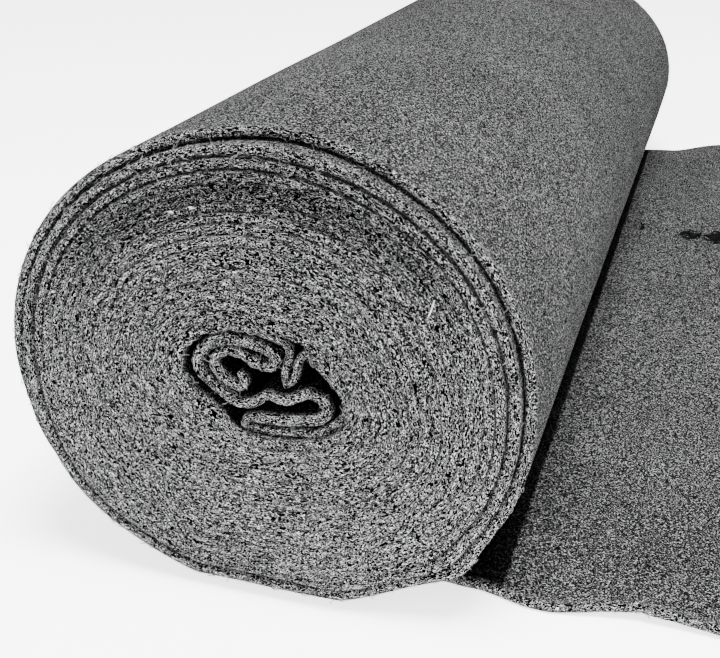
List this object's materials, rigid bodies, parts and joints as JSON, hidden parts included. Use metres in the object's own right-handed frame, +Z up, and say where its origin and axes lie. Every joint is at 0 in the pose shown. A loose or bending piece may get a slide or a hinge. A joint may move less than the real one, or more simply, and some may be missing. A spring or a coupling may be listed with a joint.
{
  "type": "roll of felt cloth",
  "caption": "Roll of thick grey needle-felted protective fleece, wound without a core, its middle crumpled into folds and its loose end lying flat on the floor beside it.",
  "frame": {"origin": "bottom centre of the whole part's bounding box, on the floor that the roll and its loose end lie on", "axes": "+Y runs along the roll from its near end, which shows the crumpled middle, to its far end; +X points from the roll towards its loose end; +Z is up"},
  "size_m": [0.526, 1.0278, 0.2996],
  "materials": {
    "grey_felt": "matt, fibrous"
  },
  "bodies": {
    "root": {"fleece_roll": "grey_felt"}
  },
  "joints": []
}
